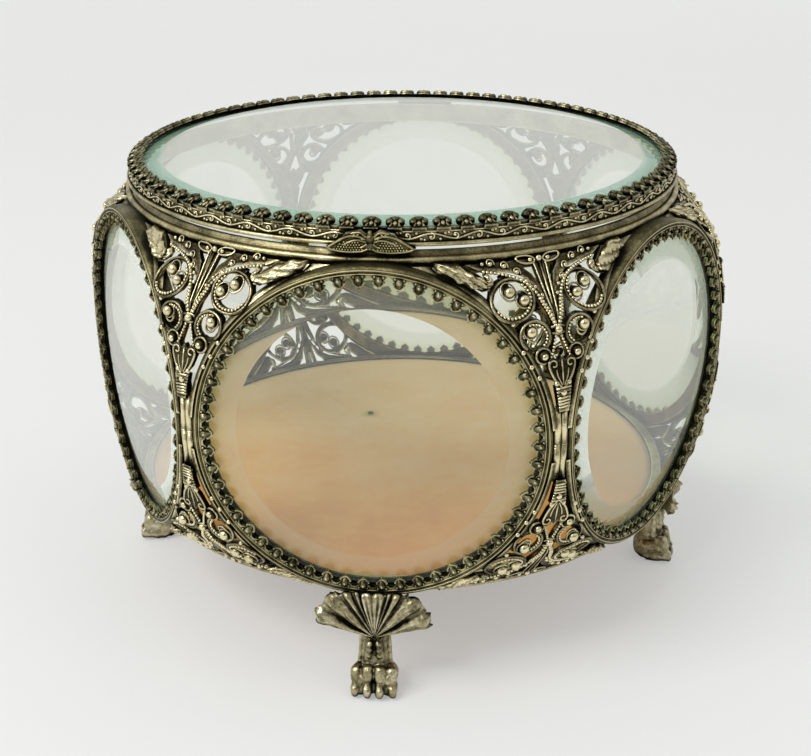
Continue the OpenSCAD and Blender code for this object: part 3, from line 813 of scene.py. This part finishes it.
def paw_parts():
    """Leg, tendons, toes, claws and pads as overlapping limbs."""
    heel_y, knee_y = 7.4 - PAW_REACH, 8.4 - PAW_REACH
    toe_y, stem_y = 3.3 - PAW_REACH, 14.2 - PAW_REACH
    parts = limb([(0, heel_y, 4.6), (0, heel_y + 0.3, 9.5), (0, knee_y, 14),
                  (0, knee_y + 0.2, 17.6), (0, knee_y + 3.2, 21.4), (0, stem_y, 25.2)],
                 [3.9, 3.6, 3.5, 3.75, 3.8, 3.85])
    stem = [Vector((0, stem_y, z)) for z in (25, FLOOR_Z - 0.1)]
    parts.append(tube(stem, 3.85, 24))
    parts.append(ball((0, heel_y, 3.5), 4.5, 24, 14))
    # Tendons down the shin
    for side in (-1, 1):
        parts += limb([(side * 1.2, knee_y - 3.1, 15.2), (side * 1.3, knee_y - 3.3, 12.0),
                       (side * 1.5, knee_y - 3.3, 8.6)], [0.85, 1.05, 1.0], 10)
        parts += limb([(side * 3.2, knee_y - 1.4, 16.5), (side * 3.3, knee_y - 1.6, 11),
                       (side * 3.5, knee_y - 1.9, 8.0)], [0.7, 0.8, 0.9], 10)
    # Each toe ends in a claw over a pad. The outer two lie lower and further back
    for x, back in ((-4.275, 0.7), (-1.425, 0.0), (1.425, 0.0), (4.275, 0.7)):
        front = toe_y + back
        parts += limb([(0.6 * x, heel_y - 1, 7.4), (0.9 * x, heel_y - 2.3, 7.8 - back),
                       (x, front, 7.2 - back), (x, front - 0.5, 5.7 - back),
                       (x, front - 0.4, 4.2)], [1.2, 1.3, 1.65, 1.45, 1.1])
        parts += limb([(1.02 * x, front - 1.0, 3.7), (1.05 * x, front - 1.7, 2.7),
                       (1.07 * x, front - 1.9, 1.5)], [1.05, 1.25, 1.0], 14)
        parts += limb([(0.9 * x, heel_y - 1.5, 1.9), (x, toe_y, 2.0)], [1.7, 1.5], 12)
    parts += limb([(-3.4, toe_y + 0.2, 2.7), (3.4, toe_y + 0.2, 2.7)], [1.8, 1.8], 12)
    # The paw's flanks, and the drops under the leaf
    for side in (-1, 1):
        parts += limb([(side * 3.0, heel_y + 0.5, 4.3), (side * 3.3, heel_y - 2.0, 5.0),
                       (side * 3.4, toe_y + 0.6, 4.8)], [2.6, 2.4, 2.2], 14)
        parts += limb([(side * 3.0, heel_y, 2.2), (side * 3.4, toe_y + 0.6, 2.2)], [2.2, 2.1], 14)
        for k in range(3):
            drop = (side * (1.05 + 0.12 * k), knee_y - 4.1, 14.4 - 1.7 * k)
            parts.append(ball(drop, 0.95 - 0.1 * k, 10, 7))
    return parts


# Size of the grid that the limbs are fused on
SKIN_MM = 0.27


def paw_skin():
    """One smooth skin over the overlapping limbs, a little uneven, in millimetres."""
    piece = make_mesh("paw_limbs", *join(paw_parts()), cast_brass)
    remesh = piece.modifiers.new("skin", "REMESH")
    remesh.mode = "VOXEL"
    remesh.voxel_size = SKIN_MM * MM
    smooth = piece.modifiers.new("rub", "SMOOTH")
    smooth.factor = 0.5
    smooth.iterations = 2
    bpy.context.view_layer.update()
    worked = piece.evaluated_get(bpy.context.evaluated_depsgraph_get())
    skin = bpy.data.meshes.new_from_object(worked)
    bpy.data.objects.remove(piece)
    points = []
    for vertex, normal in zip(skin.vertices, skin.vertex_normals):
        q = vertex.co / MM
        uneven = 0.14 * noise.noise(q * 0.7) + 0.07 * noise.noise(q * 2.1)
        points.append(q + normal.vector * uneven)
    faces = [tuple(face.vertices) for face in skin.polygons]
    bpy.data.meshes.remove(skin)
    return points, faces


def cast_feet():
    low, high = (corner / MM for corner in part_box("foot_front"))
    points, faces = join([paw_skin(), fluted_leaf()])
    points = [Vector((min(max(q.x, low.x), high.x), max(q.y, low.y), min(max(q.z, 0.0), high.z)))
              for q in points]
    for k, place in enumerate(("front", "right", "back", "left")):
        turn = Matrix.Rotation(math.radians(90 * k), 4, "Z")
        foot = make_mesh(f"cast_foot_{place}", [turn @ q for q in points], faces, cast_brass)
        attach(foot, "casket")
        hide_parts(f"foot_{place}")


cast_feet()

# Hinge: two thin brass leaves, rolled round a pin at the back. One is soldered to
# the neck of the top rim and one under the lid's band.

dress(["hinge_body_leaf", "hinge_lid_leaf", "hinge_pin"], bezel_brass)

# Lid: a turned brass band chased with a running scroll. A crown of trefoil prongs is
# folded over its glass, and a cast ribbon bow with beaded ends is soldered on in front.

dress(["lid_band"], silvered_brass)
dress(["lid_gallery", "lid_bow"], dark_brass)

BAND_MIDDLE_Z, PRONG_SEAT_Z, LID_WALL_R, PRONG_COUNT = 115.85, 117.0, 70.2, 84
PRONG_LEAN, PRONG_T = math.radians(24), 0.9
PRONG_LENGTH = 3.2 / math.cos(PRONG_LEAN)


def on_band(angle, across, up, out):
    """Point on the band's wall, from a place round it and a drawn offset in millimetres."""
    turn = angle + across / LID_WALL_R
    ring = LID_WALL_R + out
    return Vector((math.sin(turn) * ring, -math.cos(turn) * ring, BAND_MIDDLE_Z + up))


def band_chasing():
    """Running vine with a curl, a bud and two leaves in each bend."""
    parts = []
    pitch = 2 * math.pi * LID_WALL_R / PRONG_COUNT
    turns = [2 * math.pi * k / PRONG_COUNT for k in range(PRONG_COUNT)]
    vine = [on_band(turns[k], pitch * j / 6, 0.62 * math.sin(math.pi * (k + j / 6)), 0.12)
            for k in range(PRONG_COUNT) for j in range(6)]
    parts.append(tube(vine, 0.27, 5, True))
    for k, angle in enumerate(turns):
        s = 1 if k % 2 == 0 else -1
        scroll = curl(2.6, -0.12 * s, 0.85, 90 * s, -290 * s, 0.3, 10)
        parts.append(tube([on_band(angle, x, y, 0.14) for x, y in scroll], 0.22, 5))
        parts.append(ball(on_band(angle, 2.6, -0.12 * s, 0.18), 0.3, 7, 5))
        for x, y, size in ((0.4, -0.66 * s, 0.42), (1.15, -0.8 * s, 0.33), (4.6, -0.7 * s, 0.36)):
            out = on_band(angle, x, y, 1.0) - on_band(angle, x, y, 0.0)
            parts.append(ball(on_band(angle, x, y, 0.08), size, 8, 5, (out, 0.7)))
    rim = [on_band(angle, pitch * j / 2, 1.1, 0.1) for angle in turns for j in range(2)]
    parts.append(tube(rim, 0.15, 5, True))
    return join(parts)


def on_prong(angle, along, across, out):
    """Point over a prong's face; along runs from its root to its tip."""
    far = along * PRONG_LENGTH
    ring = LID_WALL_R - 0.4 - far * math.cos(PRONG_LEAN) + out * math.sin(PRONG_LEAN)
    height = PRONG_SEAT_Z + 0.2 + far * math.sin(PRONG_LEAN) + out * math.cos(PRONG_LEAN)
    side = Vector((-math.sin(angle), math.cos(angle), 0)) * across
    return Vector((math.cos(angle) * ring, math.sin(angle) * ring, height)) + side


def prong_relief():
    """Three domed lobes and a stem on each prong."""
    parts = []
    for k in range(PRONG_COUNT):
        angle = 2 * math.pi * k / PRONG_COUNT
        for along, across, size in ((0.76, 0, 0.86), (0.5, 1.2, 0.8), (0.5, -1.2, 0.8),
                                    (0.3, 0, 0.55)):
            dome = on_prong(angle, along, across, 1.0) - on_prong(angle, along, across, 0.0)
            parts.append(ball(on_prong(angle, along, across, PRONG_T), size, 9, 6, (dome, 0.62)))
        stem = [on_prong(angle, a, 0, PRONG_T + 0.05) for a in (0.0, 0.3, 0.52)]
        parts.append(tube(stem, [0.42, 0.36, 0.22]))
        for across in (-0.85, 0.85):
            foot = [on_prong(angle, a, across * w, PRONG_T)
                    for a, w in ((-0.02, 1.35), (0.2, 0.9), (0.4, 1.0))]
            parts.append(tube(foot, [0.34, 0.24, 0.2]))
    points, faces = join(parts)
    top = cad_high.z / MM - 0.02
    return [Vector((q.x, q.y, min(q.z, top))) for q in points], faces


BOW_FACE_R, BOW_LOW_Z = 71.9, 112.4


def on_bow(x, up, out):
    ring = BOW_FACE_R + out
    return Vector((x, -math.sqrt(ring * ring - x * x), BOW_LOW_Z + up))


def bow_relief():
    """Folds that run out from the knot over lobes sown with small beads."""
    parts = []
    folds = (
        ([(0.5, 1.1), (1.8, 0.5), (4.4, 0.25), (7.6, 0.45), (9.4, 1.0)], 0.26, 0.22, 0.0),
        ([(0.9, 3.2), (3.0, 3.9), (5.4, 3.5), (7.6, 2.2), (9.3, 1.1)], 0.34, 0.24, 0.02),
        ([(0.8, 2.6), (2.6, 3.0), (4.4, 2.6), (5.8, 1.8)], 0.3, 0.18, 0.02),
        ([(0.8, 3.7), (2.2, 4.7), (4.2, 4.4)], 0.32, 0.24, 0.02),
        ([(0.7, 2.2), (1.4, 1.6), (2.2, 1.3)], 0.3, 0.2, 0.02))
    for side in (-1, 1):
        for drawn, thick, thin, out in folds:
            path = [on_bow(side * x, y, out) for x, y in curve(drawn, 6)]
            steps = len(path) - 1
            radii = [thick + (thin - thick) * k / steps for k in range(steps + 1)]
            parts.append(tube(path, radii, 7))
        for row in range(4):
            low = 0.72 + 0.55 * row
            line = curve([(1.7 + 0.3 * row, low + 0.1), (4.4, low), (8.2 - 0.75 * row, low + 0.12)])
            for place in every([on_bow(side * x, y, 0.02) for x, y in line], 0.62):
                parts.append(ball(place, 0.25, 6, 4))
        for x, y in ((2.6, 4.25), (3.4, 4.15), (1.7, 3.3), (6.6, 2.9)):
            parts.append(ball(on_bow(side * x, y, 0.05), 0.32, 7, 5))
    parts.append(ball(on_bow(0, 3.4, 0.0), 1.0, 12, 8, (Vector((0, -1, 0)), 0.7)))
    parts.append(ball(on_bow(0, 4.6, -0.1), 0.6, 9, 6))
    return join(parts)


for name, relief, finish, slot in (
        ("lid_band_chasing", band_chasing(), silvered_brass, "silvered_brass"),
        ("lid_prong_relief", prong_relief(), dark_brass, "dark_brass"),
        ("lid_bow_relief", bow_relief(), bezel_brass, "silvered_brass")):
    piece = make_mesh(name, *relief, finish)
    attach(piece, "lid")

# Studio: a sweep of white paper that curves up behind the box, under soft light
# from the upper left.


def paper_material():
    """Matt white paper with a barely uneven tone."""
    material = new_material("white paper")
    place = add(material, "ShaderNodeTexCoord").outputs["Object"]
    grain = add(material, "ShaderNodeTexNoise", {"Vector": place, "Scale": 3.0, "Detail": 2.0})
    shade = add(material, "ShaderNodeValToRGB", {"Fac": grain.outputs["Fac"]}, stops=[
        (0.3, "#e9e9e7"), (0.7, "#ececea")])
    paper = add(material, "ShaderNodeBsdfPrincipled", {
        "Base Color": shade.outputs["Color"], "Roughness": 0.8})
    # The camera sees the paper a little brighter than it is lit, as an exposure for white does
    light_path = add(material, "ShaderNodeLightPath")
    seen = add(material, "ShaderNodeMath", {
        0: light_path.outputs["Is Camera Ray"], 1: light_path.outputs["Is Transmission Ray"]},
        operation="MAXIMUM")
    depth = add(material, "ShaderNodeSeparateXYZ", {"Vector": place})
    share = add(material, "ShaderNodeMapRange", {
        "Value": depth.outputs["Y"], "From Min": 100 * MM, "From Max": 1200 * MM,
        "To Min": 0.4, "To Max": 0.8})
    lift = add(material, "ShaderNodeMath", {0: seen.outputs[0], 1: share.outputs[0]},
               operation="MULTIPLY")
    white = add(material, "ShaderNodeEmission", {"Color": colour("#ecedeb"), "Strength": 1.0})
    mixed = add(material, "ShaderNodeMixShader", {
        0: lift.outputs[0], 1: paper.outputs[0], 2: white.outputs[0]})
    return finish_material(material, mixed.outputs[0])


def sweep():
    """Floor that curves up into a backdrop far behind the box."""
    width, front, bend, back, height = 3000, -2200, 1100, 1500, 1800
    radius, steps = back - bend, 12
    profile = [(front, 0.0), (bend, 0.0)]
    for k in range(1, steps + 1):
        angle = math.pi / 2 * k / steps
        profile.append((bend + radius * math.sin(angle), radius * (1 - math.cos(angle))))
    profile.append((back, height))
    points = [(x, y, z) for y, z in profile for x in (-width, width)]
    faces = [(2 * k, 2 * k + 1, 2 * k + 3, 2 * k + 2) for k in range(len(profile) - 1)]
    return make_mesh("paper_sweep", points, faces, paper_material())


sweep()


def soft_lamp(name, place, aim, size, power):
    lamp = bpy.data.lights.new(name, "AREA")
    lamp.shape = "DISK"
    lamp.size = size
    lamp.energy = power
    holder = bpy.data.objects.new(name, lamp)
    holder.location = place
    holder.rotation_mode = "QUATERNION"
    holder.rotation_quaternion = (Vector(aim) - Vector(place)).to_track_quat("-Z", "Y")
    bpy.context.scene.collection.objects.link(holder)


soft_lamp("window_light", (-0.9, -0.75, 1.15), (0, 0, 0.05), 0.8, 9.5)
soft_lamp("fill_light", (1.0, -0.7, 0.9), (0, 0, 0.05), 0.9, 1.2)
soft_lamp("spark_light", (-0.35, -0.75, 0.95), (0, 0, 0.06), 0.25, 2.2)

world = bpy.data.worlds.new("studio air")
world.use_nodes = True
bpy.context.scene.world = world
# Mirror images show white walls all round, and a darker room in front and to the right
ROOM_SIDE = (0.6, -0.8, 0.0)
look = add(world, "ShaderNodeTexCoord")
ahead = add(world, "ShaderNodeVectorMath", {0: look.outputs["Generated"], 1: ROOM_SIDE},
            operation="DOT_PRODUCT")
depth = add(world, "ShaderNodeMapRange", {
    "Value": ahead.outputs["Value"], "From Min": 0.3, "From Max": 0.85})
light_path = add(world, "ShaderNodeLightPath")
seen = add(world, "ShaderNodeMath", {0: depth.outputs[0], 1: light_path.outputs["Is Glossy Ray"]},
           operation="MULTIPLY")
room = add(world, "ShaderNodeMix", {
    "Factor": seen.outputs[0], "A": colour("#f4f5f5"), "B": colour("#807b6c")}, data_type="RGBA")
backdrop = world.node_tree.nodes["Background"]
backdrop.inputs["Strength"].default_value = 0.78
world.node_tree.links.new(room.outputs["Result"], backdrop.inputs["Color"])

# Camera at the photograph's angle, with the lens that its perspective shows.

AZIMUTH, ELEVATION, ROLL = (math.radians(a) for a in (5.483, 23.112, -0.164))
camera_data = bpy.data.cameras.new("camera")
camera_data.sensor_width = 36.0
camera_data.lens = 61.93
camera_data.clip_start = 0.01
camera_data.clip_end = 20.0
camera = bpy.data.objects.new("camera", camera_data)
bpy.context.scene.collection.objects.link(camera)
back = Vector((math.sin(AZIMUTH) * math.cos(ELEVATION),
               -math.cos(AZIMUTH) * math.cos(ELEVATION), math.sin(ELEVATION)))
right = (-back).cross(Vector((0, 0, 1))).normalized()
up = right.cross(-back)
x_axis = right * math.cos(ROLL) + up * math.sin(ROLL)
y_axis = -right * math.sin(ROLL) + up * math.cos(ROLL)
turn = Matrix((x_axis, y_axis, back)).transposed()
camera.rotation_mode = "QUATERNION"
camera.rotation_quaternion = turn.to_quaternion()
camera.location = Vector((34.99, -357.22, 205.89)) * MM
bpy.context.scene.camera = camera

bpy.context.scene.view_settings.view_transform = "Standard"
